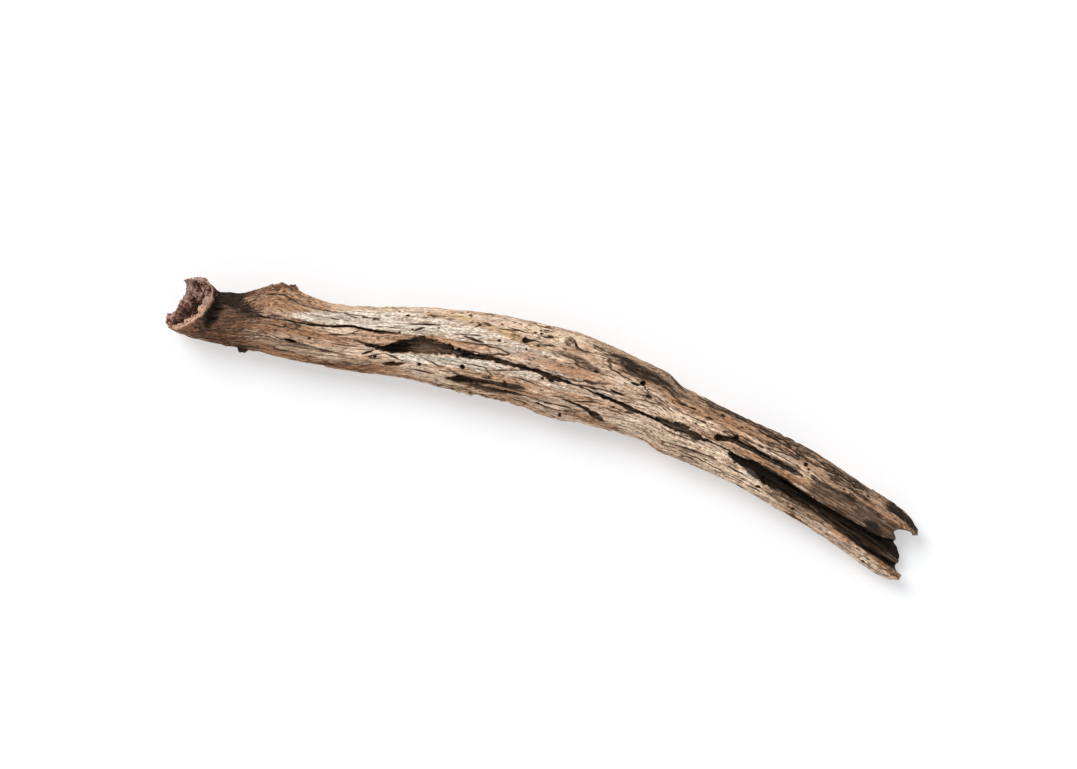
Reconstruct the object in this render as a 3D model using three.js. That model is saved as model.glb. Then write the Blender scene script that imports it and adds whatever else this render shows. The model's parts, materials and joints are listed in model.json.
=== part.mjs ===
// Driftwood root: one solid piece of weathered wood that lies along X. The broken stump end is at -X, a
// worn burl sits behind it, and at +X a long trough opens the wood into two short prongs.
// Millimetres, +Z up. The origin is on the ground, under the middle of the piece.

import * as THREE from 'three';
import { ParametricGeometry } from 'three/addons/geometries/ParametricGeometry.js';
import { mergeVertices } from 'three/addons/utils/BufferGeometryUtils.js';

const SLICES = 40; // facets around the girth
const STACKS = 108; // facets from end to end, with the end faces
const FACE_STACKS = 3; // of them, the facets across each end face
const GROUND = 0; // height of the ground, and of the pads that are worn flat on it
const WELD = 1e-3; // points closer than this are one point

// The girth along the root, one row per station:
// x, its +Y edge, its -Y edge, the height of its underside and the height of its crest.
// Where the underside would dip below the ground, the wood is worn to a flat pad.
const STATIONS = [
	[ - 300, - 16, - 44, 10, 41 ],
	[ - 286, - 2.5, - 48, 6, 47 ],
	[ - 268, - 6, - 48.5, 4, 46 ],
	[ - 252, - 4, - 46, 3, 43 ],
	[ - 235, 5, - 44, 1, 47 ],
	[ - 218, 13, - 41.5, - 1, 51 ],
	[ - 200, 10.5, - 40, - 2, 48 ],
	[ - 170, 14.5, - 36, - 1.5, 45 ],
	[ - 130, 26, - 28, 3, 47 ],
	[ - 90, 37.5, - 23.5, 6, 50 ],
	[ - 45, 45, - 17.5, 3.5, 53 ],
	[ 5, 50.4, - 16.2, - 1.5, 54 ],
	[ 50, 48.2, - 12, - 2, 51 ],
	[ 78, 43.5, - 10, 1, 48 ],
	[ 96, 37, - 13.2, 3.5, 47 ],
	[ 140, 32, - 16.6, 5, 46 ],
	[ 180, 27.3, - 23.4, 4, 45 ],
	[ 220, 19.3, - 32.2, 1, 42 ],
	[ 255, 10, - 41.5, - 2, 38 ],
	[ 280, 3.4, - 48.8, - 2, 34 ],
	[ 300, - 8, - 50.4, 1, 27 ],
];

// The broken face at -X leans back: its top rim is further in than its foot.
const STUMP = { middle: - 284.5, lean: 14.5, slant: 5, dish: 4 };

// The two prongs at +X, as places across the girth: 1 is the +Y edge and -1 the -Y edge.
const PRONG_END = {
	middle: 287,
	undercut: 4, // the underside stops this much short
	upper: { at: 0.74, spread: 0.17, reach: 14 },
	notch: { at: 0.42, spread: 0.12, reach: - 8 },
	lower: { at: - 0.92, spread: 0.16, reach: 14 },
};

// Long swellings that run round the girth and twist slowly with the grain.
const LOBES = { count: 3, height: 1.3, twist: 0.011 };

// Hollows in the upper side. Each is a list of points along it: x, y of its middle line, its half
// width and its depth.
const TROUGH = [
	[ 138, 1, 2, 0 ],
	[ 158, 0, 4, 11 ],
	[ 180, - 5, 6, 16 ],
	[ 200, - 11, 6.5, 19 ],
	[ 240, - 21, 7, 22 ],
	[ 270, - 28, 8.5, 22 ],
	[ 302, - 33, 10.5, 17 ],
];
const CAVITY = [
	[ - 148, - 10, 1, 0 ],
	[ - 132, - 7, 4, 9 ],
	[ - 112, 1, 7, 13 ],
	[ - 90, 5, 6, 10 ],
	[ - 70, 8, 4, 9 ],
	[ - 52, 10.5, 1, 0 ],
];
const SHELF = [ // the sunken slab beside the trough
	[ 196, 0, 5, 0 ],
	[ 222, - 2, 8, 5 ],
	[ 255, - 8, 8, 7 ],
	[ 285, - 14, 6, 8 ],
	[ 302, - 17, 6, 9 ],
];
const NECK = { at: - 257, spread: 8, depth: 5 }; // the groove behind the stump's rim

const WOOD = { color: '#b8997b', roughness: 0.86, metalness: 0 };

// A smooth run through rows of numbers, read by the first number of the row.
function throughRows( rows ) {

	const places = rows.map( ( row ) => row[ 0 ] );
	const values = rows.flatMap( ( row ) => row.slice( 1 ) );
	const size = rows[ 0 ].length - 1;
	const run = new THREE.CubicInterpolant( places, values, size, new Float32Array( size ) );
	return ( place ) => Array.from( run.evaluate( place ) );

}

const girthAt = throughRows( STATIONS );
const hollows = [ TROUGH, CAVITY, SHELF ].map( ( rows ) => ( {
	start: rows[ 0 ][ 0 ],
	end: rows[ rows.length - 1 ][ 0 ],
	at: throughRows( rows ),
} ) );

// A bell: 1 in the middle, falling to nothing about two spreads away.
function bell( distance, spread ) {

	return Math.exp( - ( ( distance / spread ) ** 2 ) );

}

// How far the hollows lower the upper side over a point of the plan: full depth inside the half width,
// with banks that rise over the outer third.
function hollowDepth( x, y ) {

	let depth = 0;
	for ( const hollow of hollows ) {

		if ( x < hollow.start || x > hollow.end ) continue;
		const [ middle, halfWidth, deepest ] = hollow.at( x );
		const across = Math.abs( y - middle ) / halfWidth;
		const bank = 1 - THREE.MathUtils.smoothstep( across, 0.65, 1.35 );
		depth = Math.max( depth, deepest * bank );

	}

	return depth;

}

// Where the skin ends at -X, for one direction round the girth.
function stumpEnd( angle ) {

	return STUMP.middle + STUMP.slant * Math.cos( angle ) + STUMP.lean * Math.sin( angle );

}

// Where it ends at +X: a blunt end, two prongs that reach out and the notch between them.
function prongEnd( angle ) {

	const across = Math.cos( angle );
	const underneath = Math.max( 0, - Math.sin( angle ) );
	let x = PRONG_END.middle - PRONG_END.undercut * underneath;
	for ( const part of [ PRONG_END.upper, PRONG_END.notch, PRONG_END.lower ] )
		x += part.reach * bell( across - part.at, part.spread );
	return x;

}

// The point of the skin at a direction round the girth (0 is +Y, a quarter turn is up) and a fraction of
// the way along, from 0 at the stump's rim to 1 at the prongs.
function skinPoint( angle, along ) {

	const x = THREE.MathUtils.lerp( stumpEnd( angle ), prongEnd( angle ), along );
	const [ plusEdge, minusEdge, underside, crest ] = girthAt( x );
	const swell = LOBES.height * Math.sin( LOBES.count * angle + LOBES.twist * x );
	const y = ( plusEdge + minusEdge ) / 2 + ( plusEdge - minusEdge ) / 2 * Math.cos( angle );
	const rise = Math.sin( angle );
	let z = ( crest + underside ) / 2 + ( ( crest - underside ) / 2 + swell ) * rise;
	if ( rise > 0 ) {

		const sunk = hollowDepth( x, y ) + NECK.depth * bell( x - NECK.at, NECK.spread );
		z -= sunk * Math.min( 1, 2 * rise );

	}

	return new THREE.Vector3( x, y, Math.max( z, GROUND ) );

}

// The closed skin. Its first and last rows of facets are the end faces: there the ring folds onto the
// line midway between its upper and lower half, so that the two halves meet and close the end.
function skinGeometry() {

	const rows = STACKS - 2 * FACE_STACKS;
	const closedSkin = new ParametricGeometry( ( u, v, target ) => {

		const angle = 2 * Math.PI * u;
		const row = v * STACKS - FACE_STACKS;
		const along = THREE.MathUtils.clamp( row / rows, 0, 1 );
		const beyond = Math.max( - row, row - rows, 0 );
		const fold = Math.min( 1, beyond / FACE_STACKS );
		const rim = skinPoint( angle, along );
		const opposite = skinPoint( - angle, along );
		const midline = rim.clone().add( opposite ).multiplyScalar( 0.5 );
		target.lerpVectors( rim, midline, fold );
		if ( row < 0 ) target.x += STUMP.dish * fold * Math.abs( Math.sin( angle ) );

	}, SLICES, STACKS );
	closedSkin.deleteAttribute( 'normal' );
	closedSkin.deleteAttribute( 'uv' );
	return mergeVertices( closedSkin, WELD );

}

// Puts the origin on the ground under the middle of the geometry's box.
function standOnOrigin( geometry ) {

	geometry.computeBoundingBox();
	const middle = geometry.boundingBox.getCenter( new THREE.Vector3() );
	geometry.translate( - middle.x, - middle.y, 0 );
	geometry.computeVertexNormals();
	return geometry;

}

const driftwood = new THREE.Mesh( standOnOrigin( skinGeometry() ), new THREE.MeshStandardMaterial( WOOD ) );
driftwood.name = 'driftwood';

const group = new THREE.Group();
group.add( driftwood );

export default group;
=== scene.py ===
# A weathered driftwood root on a pale floor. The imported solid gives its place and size; the wood itself is
# worked out here as one closed grid surface, with its cracks, holes, broken end and prongs in the mesh.
import json
import math
import bpy
import numpy as np
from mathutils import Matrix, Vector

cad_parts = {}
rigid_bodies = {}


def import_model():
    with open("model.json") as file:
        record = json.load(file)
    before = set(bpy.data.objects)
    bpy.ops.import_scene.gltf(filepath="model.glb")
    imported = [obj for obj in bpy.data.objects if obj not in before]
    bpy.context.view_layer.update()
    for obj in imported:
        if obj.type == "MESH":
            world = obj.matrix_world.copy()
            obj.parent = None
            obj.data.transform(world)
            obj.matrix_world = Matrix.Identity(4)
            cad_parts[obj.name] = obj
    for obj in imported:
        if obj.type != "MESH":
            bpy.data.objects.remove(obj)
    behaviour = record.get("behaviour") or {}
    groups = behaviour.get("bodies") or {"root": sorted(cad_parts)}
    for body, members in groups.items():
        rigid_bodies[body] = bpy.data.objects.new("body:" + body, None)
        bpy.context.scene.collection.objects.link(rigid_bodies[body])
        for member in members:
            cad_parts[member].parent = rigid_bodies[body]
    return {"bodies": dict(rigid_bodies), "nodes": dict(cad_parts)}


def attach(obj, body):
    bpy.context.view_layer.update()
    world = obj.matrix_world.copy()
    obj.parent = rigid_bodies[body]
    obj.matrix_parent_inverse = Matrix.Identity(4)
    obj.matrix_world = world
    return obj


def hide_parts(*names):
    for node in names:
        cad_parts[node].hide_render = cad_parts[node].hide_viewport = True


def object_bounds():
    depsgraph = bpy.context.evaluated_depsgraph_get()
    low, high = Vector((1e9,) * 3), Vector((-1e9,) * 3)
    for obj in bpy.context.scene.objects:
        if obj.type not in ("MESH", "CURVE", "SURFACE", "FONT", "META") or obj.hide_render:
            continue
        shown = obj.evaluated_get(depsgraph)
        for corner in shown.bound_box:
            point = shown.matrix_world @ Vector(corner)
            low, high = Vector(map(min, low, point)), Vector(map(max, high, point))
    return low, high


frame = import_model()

cadLow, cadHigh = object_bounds()
solidName = next(iter(frame["nodes"]))
bodyName = next(iter(frame["bodies"]))

rootLength = 600.0  # every length in the lists below is in this measure, with x from -300 to 300
unit = (cadHigh[0] - cadLow[0]) / rootLength  # one of them in the frame's metres
middleX = (cadHigh[0] + cadLow[0]) / 2
middleY = (cadHigh[1] + cadLow[1]) / 2
fullTurn = 2 * math.pi
white = (1.0, 1.0, 1.0, 1.0)


def makeCamera():
    look = {"lens": 85.0, "sensor": 36.0, "seenWidth": 823.0, "aim": (-12.9, 4.2, 25.0), "roll": 19.0}
    data = bpy.data.cameras.new("camera")
    data.lens = look["lens"]
    data.sensor_width = look["sensor"]
    camera = bpy.data.objects.new("camera", data)
    x, y, z = look["aim"]
    height = look["seenWidth"] * look["lens"] / look["sensor"] + z
    camera.location = (middleX + x * unit, middleY + y * unit, height * unit)
    camera.rotation_euler = (0, 0, math.radians(look["roll"]))  # straight down, turned by the roll
    bpy.context.scene.collection.objects.link(camera)
    bpy.context.scene.camera = camera


def makeStage():
    look = {"floor": (0.63, 0.635, 0.645), "floorRoughness": 0.95, "floorShine": 0.1, "floorGlow": 0.36,
            "floorSize": 40.0, "sky": (0.97, 0.985, 1.0), "skyStrength": 0.62, "lamp": 1.9,
            "lampSpread": 30.0, "lampFrom": (-0.85, 0.45, 1.15), "lampColor": (1.0, 0.995, 0.985)}
    half = look["floorSize"] / 2
    corners = [(-half, -half, 0), (half, -half, 0), (half, half, 0), (-half, half, 0)]
    mesh = bpy.data.meshes.new("floor")
    mesh.from_pydata(corners, [], [tuple(range(len(corners)))])
    floor = bpy.data.objects.new("floor", mesh)
    bpy.context.scene.collection.objects.link(floor)
    sheet = NodeSheet("pale_floor")
    sheet.finish({"Base Color": (*look["floor"], 1.0), "Roughness": look["floorRoughness"],
                  "Specular IOR Level": look["floorShine"],
                  "Emission Color": white, "Emission Strength": look["floorGlow"]})
    mesh.materials.append(sheet.material)

    # a plain white studio: even pale light from all round, and pure white where the camera sees past
    # the floor
    world = bpy.data.worlds.new("studio")
    world.use_nodes = True
    tree = world.node_tree
    light = tree.nodes["Background"]
    light.inputs["Color"].default_value = (*look["sky"], 1.0)
    light.inputs["Strength"].default_value = look["skyStrength"]
    seen = tree.nodes.new("ShaderNodeBackground")
    seen.inputs["Color"].default_value = white
    ray = tree.nodes.new("ShaderNodeLightPath")
    choose = tree.nodes.new("ShaderNodeMixShader")
    tree.links.new(ray.outputs["Is Camera Ray"], choose.inputs[0])
    tree.links.new(light.outputs[0], choose.inputs[1])
    tree.links.new(seen.outputs[0], choose.inputs[2])
    tree.links.new(choose.outputs[0], tree.nodes["World Output"].inputs["Surface"])
    bpy.context.scene.world = world

    data = bpy.data.lights.new("softbox", "SUN")
    data.angle = math.radians(look["lampSpread"])
    data.energy = look["lamp"]
    data.color = look["lampColor"]
    lamp = bpy.data.objects.new("softbox", data)
    lamp.location = look["lampFrom"]
    lamp.rotation_euler = (-lamp.location).to_track_quat("-Z", "Y").to_euler()
    bpy.context.scene.collection.objects.link(lamp)
    bpy.context.scene.view_settings.view_transform = "Standard"


# A number that changes over the surface. Arithmetic on it adds the Math node of that operation.
class Shade:
    def __init__(self, sheet, socket):
        self.sheet = sheet
        self.socket = socket

    def math(self, operation, *others, clamp=False):
        node = self.sheet.add("ShaderNodeMath", {"operation": operation, "use_clamp": clamp},
                              dict(enumerate((self, *others))))
        return Shade(self.sheet, node.outputs[0])

    def __add__(self, other):
        return self.math("ADD", other)

    def __radd__(self, other):
        return self.math("ADD", other)

    def __sub__(self, other):
        return self.math("SUBTRACT", other)

    def __rsub__(self, other):
        return (self * -1.0).math("ADD", other)

    def __mul__(self, other):
        return self.math("MULTIPLY", other)

    def __abs__(self):
        return self.math("ABSOLUTE")

    def clamped(self):
        return self.math("ADD", 0.0, clamp=True)

    def above(self, lowest):
        return self.math("MAXIMUM", lowest)

    # 0 at low, 1 at high and a soft step between them, which falls where low is the higher
    def step(self, low, high):
        node = self.sheet.add("ShaderNodeMapRange", {"interpolation_type": "SMOOTHSTEP"},
                              {"Value": self, "From Min": low, "From Max": high})
        return Shade(self.sheet, node.outputs["Result"])


class NodeSheet:
    def __init__(self, name):
        self.material = bpy.data.materials.new(name)
        self.material.use_nodes = True
        self.tree = self.material.node_tree
        self.shader = self.tree.nodes["Principled BSDF"]

    def fill(self, node, sockets):
        for name, value in sockets.items():
            if isinstance(value, Shade):
                value = value.socket
            if isinstance(value, bpy.types.NodeSocket):
                self.tree.links.new(value, node.inputs[name])
            else:
                node.inputs[name].default_value = value

    # any node: its type, its settings, which are set first, and the values or links of its sockets
    def add(self, kind, settings, sockets):
        node = self.tree.nodes.new(kind)
        for name, value in settings.items():
            if name == "stops":
                ramp = node.color_ramp
                while len(ramp.elements) < len(value):
                    ramp.elements.new(1.0)
                for element, (place, color) in zip(ramp.elements, value):
                    element.position = place
                    element.color = (*color, 1.0)
            else:
                setattr(node, name, value)
        self.fill(node, sockets)
        return node

    def number(self, attribute):
        node = self.add("ShaderNodeAttribute", {"attribute_name": attribute}, {})
        return Shade(self, node.outputs["Fac"])

    def vector(self, attribute):
        return self.add("ShaderNodeAttribute", {"attribute_name": attribute}, {}).outputs["Vector"]

    def stretched(self, vector, scale):
        node = self.add("ShaderNodeVectorMath", {"operation": "MULTIPLY"}, {0: vector, 1: scale})
        return node.outputs["Vector"]

    def noise(self, vector, scale, detail, roughness, distortion=0.0):
        node = self.add("ShaderNodeTexNoise", {}, {"Vector": vector, "Scale": scale, "Detail": detail,
                                                   "Roughness": roughness, "Distortion": distortion})
        return Shade(self, node.outputs["Fac"])

    # a colour made brighter or darker by a number
    def lit(self, color, shade):
        node = self.add("ShaderNodeVectorMath", {"operation": "SCALE"}, {0: color, "Scale": shade})
        return node.outputs["Vector"]

    def ramp(self, shade, stops):
        return self.add("ShaderNodeValToRGB", {"stops": stops}, {"Fac": shade}).outputs["Color"]

    def mix(self, first, second, factor):
        first, second = (c if isinstance(c, bpy.types.NodeSocket) else (*c, 1.0) for c in (first, second))
        return self.add("ShaderNodeMix", {"data_type": "RGBA"}, {0: factor, 6: first, 7: second}).outputs[2]

    def finish(self, sockets):
        self.fill(self.shader, sockets)
        return self.material


# 0 below low, 1 above high, and between them three times the square of the share less twice its cube
def softStep(low, high, value):
    t = np.clip((value - low) / (high - low), 0.0, 1.0)
    return t * t * (3.0 - 2.0 * t)


# A smooth run through rows of numbers, read at x, the first number of a row. Between two rows it is the
# cubic whose slope at each row is that from the row before to the row after.
def smoothRun(rows, x):
    table = np.array(rows, float)
    places, values = table[:, 0], table[:, 1:]
    slopes = np.gradient(values, places, axis=0)
    x = np.clip(x, places[0], places[-1])
    k = np.clip(np.searchsorted(places, x, side="right") - 1, 0, len(places) - 2)
    gap = places[k + 1] - places[k]
    t = (x - places[k]) / gap
    startWeight, endWeight = (1 + 2 * t) * (1 - t) ** 2, t * t * (3 - 2 * t)
    startSlope, endSlope = t * (1 - t) ** 2 * gap, t * t * (t - 1) * gap
    return [startWeight * values[k, c] + endWeight * values[k + 1, c]
            + startSlope * slopes[k, c] + endSlope * slopes[k + 1, c] for c in range(values.shape[1])]


# Gradient noise between about -1 and 1. Each corner of a unit lattice gets a random slope, scrambled
# from its whole-number place, and the eight slopes around a point are blended by a quintic step.
def noiseAt(points, size, seed):
    look = {"axisFactors": (73856093, 19349663, 83492791), "seedFactor": 2654435, "word": 0xFFFFFFFF,
            "scrambles": ((15, 2246822519), (13, 3266489917)), "lastShift": 16, "bits": 10, "gain": 1.25}
    place = points / np.array(size, float)
    cell = np.floor(place)
    inside = place - cell
    cell = cell.astype(np.int64)
    blend = inside ** 3 * (inside * (inside * 6 - 15) + 10)
    bits, most = look["bits"], 2 ** look["bits"] - 1
    total = np.zeros(points.shape[:-1])
    for corner in range(8):
        offset = np.array([corner & 1, corner >> 1 & 1, corner >> 2 & 1])
        mixed = seed * look["seedFactor"]
        for axis, factor in enumerate(look["axisFactors"]):
            mixed = mixed ^ (cell[..., axis] + offset[axis]) * factor
        for shift, factor in look["scrambles"]:
            mixed = (mixed ^ (mixed >> shift)) * factor & look["word"]
        mixed = mixed ^ (mixed >> look["lastShift"])
        slope = np.stack([mixed & most, mixed >> bits & most, mixed >> 2 * bits & most], -1) / (most / 2) - 1
        weight = np.prod(np.where(offset == 1, blend, 1 - blend), -1)
        total += weight * np.sum(slope * (inside - offset), -1)
    return total * look["gain"]


# noises by name, each a sum of layers: weight, size of a lump along the root and across it, seed
layers = {
    "stumpEdge": [(1.3, 1, 7, 5), (0.6, 1, 2.8, 6)], "prongEdge": [(0.8, 1, 5, 7), (0.2, 1, 1.6, 8)],
    "waver": [(0.12, 95, 24, 20), (0.04, 34, 11, 19)], "flutes": [(2.0, 150, 15, 21), (1.2, 70, 8, 22)],
    "ridges": [(0.92, 60, 4.8, 23)], "creases": [(1.265, 46, 4.0, 24)],
    "fibres": [(0.5, 24, 2.2, 25), (0.3, 9, 1.4, 26)], "plates": [(2.6, 48, 7, 27), (0.5, 8, 2, 28)],
    "bumps": [(0.4, 4.2, 2.4, 29)], "hairlines": [(1, 85, 7.5, 18), (0.08, 7, 2, 17)],
    "hairlinePatches": [(1, 40, 14, 16)], "shreds": [(3.4, 7, 1.8, 61)],
    "crumbs": [(2.4, 4.2, 3.2, 62), (1.2, 2, 1.6, 63)],
    "channelWander": [(0.55, 10, 3, 31), (0.35, 3.6, 1.5, 32)],
    "channelRagged": [(0.8, 5, 2.2, 35), (0.6, 2.4, 1.4, 36)],
    "channelStripes": [(1, 30, 2.2, 33), (0.7, 12, 1.2, 34)],
    "sideWander": [(0.7, 14, 4, 37), (0.4, 4, 1.6, 38)], "tintWander": [(1.6, 26, 5, 51), (0.9, 9, 2.2, 52)],
    "stumpLumps": [(2.6, 10, 10, 71), (1.6, 4.6, 4.6, 72), (0.8, 1.9, 1.9, 74)],
    "stumpPits": [(1, 4.4, 4.4, 73)], "stumpFray": [(2.2, 7, 2.2, 78)],
    "prongFibres": [(0.9, 3, 3, 75), (0.5, 1.4, 1.4, 76)],
}


def layered(points, name):
    return sum(weight * noiseAt(points, (along, across, across), seed)
               for weight, along, across, seed in layers[name])


# x, +Y edge, -Y edge, height of the underside, height of the crest
girthStations = [
    (-300, -10, -44, 10, 41), (-294, -7.2, -46.6, 8, 45), (-288, -7, -47.4, 6.5, 47),
    (-284, -5.8, -47.6, 6, 47.6), (-279.5, -2.4, -47.6, 5, 48), (-276, -5.6, -47.6, 4.4, 47.6),
    (-272, -8, -47.4, 4, 47), (-267, -8.4, -47, 3.5, 45), (-258, -6, -46, 3, 43),
    (-250, -4.4, -45.2, 3, 43), (-242, 0, -44.2, 2, 45), (-233, 6, -43, 1, 47.5),
    (-224, 10.8, -41.8, 0, 50), (-213, 11.6, -41, -1, 50.5), (-202, 10.6, -40, -2, 49),
    (-190, 10.8, -38.6, -2, 47), (-170, 14.4, -35.8, -1.5, 45), (-150, 19.6, -32.2, 1, 45),
    (-130, 25.8, -27.6, 3, 47), (-108, 32.4, -23.6, 5, 49), (-80, 39, -22, 6, 50.5),
    (-60, 42.5, -18.5, 4.5, 52), (-30, 47.2, -15.6, 2, 53.5), (5, 50.4, -16.2, -1.5, 54),
    (30, 49.4, -13.2, -2, 52.5), (60, 47, -10.2, -1, 50), (80, 43.4, -10, 1, 48),
    (90, 38.6, -12.8, 3, 47), (105, 36.4, -13.8, 4, 46.5), (140, 32, -16.6, 5, 46),
    (180, 27.3, -23.4, 4, 45), (220, 19.3, -32, 1, 42), (255, 9.8, -41.4, -2, 38),
    (280, 3.6, -48.6, -2, 34), (292, -2, -50.2, 0, 30), (300, -8, -50.4, 1, 27),
]

# where the skin ends at +X, from the -Y edge (-1) to the +Y edge (1): two prongs with a notch between
prongOutline = [
    (-1.0, 288), (-0.97, 292), (-0.93, 295), (-0.86, 296.5), (-0.76, 296.8), (-0.69, 295.5), (-0.64, 293.5),
    (-0.58, 292.5), (-0.3, 293), (-0.12, 291.5), (0.03, 288), (0.14, 284), (0.25, 282), (0.34, 280),
    (0.42, 281.5), (0.5, 284), (0.57, 287), (0.65, 291.5), (0.73, 295.5), (0.81, 298), (0.9, 299),
    (0.96, 298.5), (1.0, 296),
]

# where it ends at -X, at degrees round the girth (0 is the +Y edge, 90 the crest): the broken rim
stumpOutline = [
    (-180, -293), (-163, -296.5), (-148, -299), (-132, -299.8), (-116, -299), (-100, -296), (-80, -293.5),
    (-60, -293.5), (-36, -295), (-20, -295.5), (-8, -292), (4, -285), (12, -279.5), (24, -274), (36, -270),
    (55, -269), (75, -269.4), (90, -271), (98, -274.5), (117, -280), (140, -286), (155, -289),
    (170, -291.5), (180, -293),
]

driftwood = {
    "columns": 440,  # grid lines round the girth, half of them above the edges
    "rows": 760,  # rings from the broken rim to the prongs
    "stumpRows": 30,  # rings across the broken face
    "prongRows": 10,  # rings across the ends of the prongs
    "weld": 0.002,  # points closer than this become one
    "triangles": 196000,  # what the dense grid is thinned to
    "prongUndercut": 3.5,  # how much shorter the prongs are underneath
    "stumpSquareness": 0.4,  # how boxy the girth gets at the broken end
    "squareFrom": (-262, -278),  # where along x it starts to, and where it has
    "stumpFacing": (-0.82, 0.27, 0.5),  # which way the broken face looks
    "slant": 16,  # how far x may stray within a ring
    "grainRadius": 26.0,  # radius of the straight cylinder that the grain pattern is laid on
    "grainTwist": 0.0016,  # how far the grain turns round the root for each step along x
}

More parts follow.
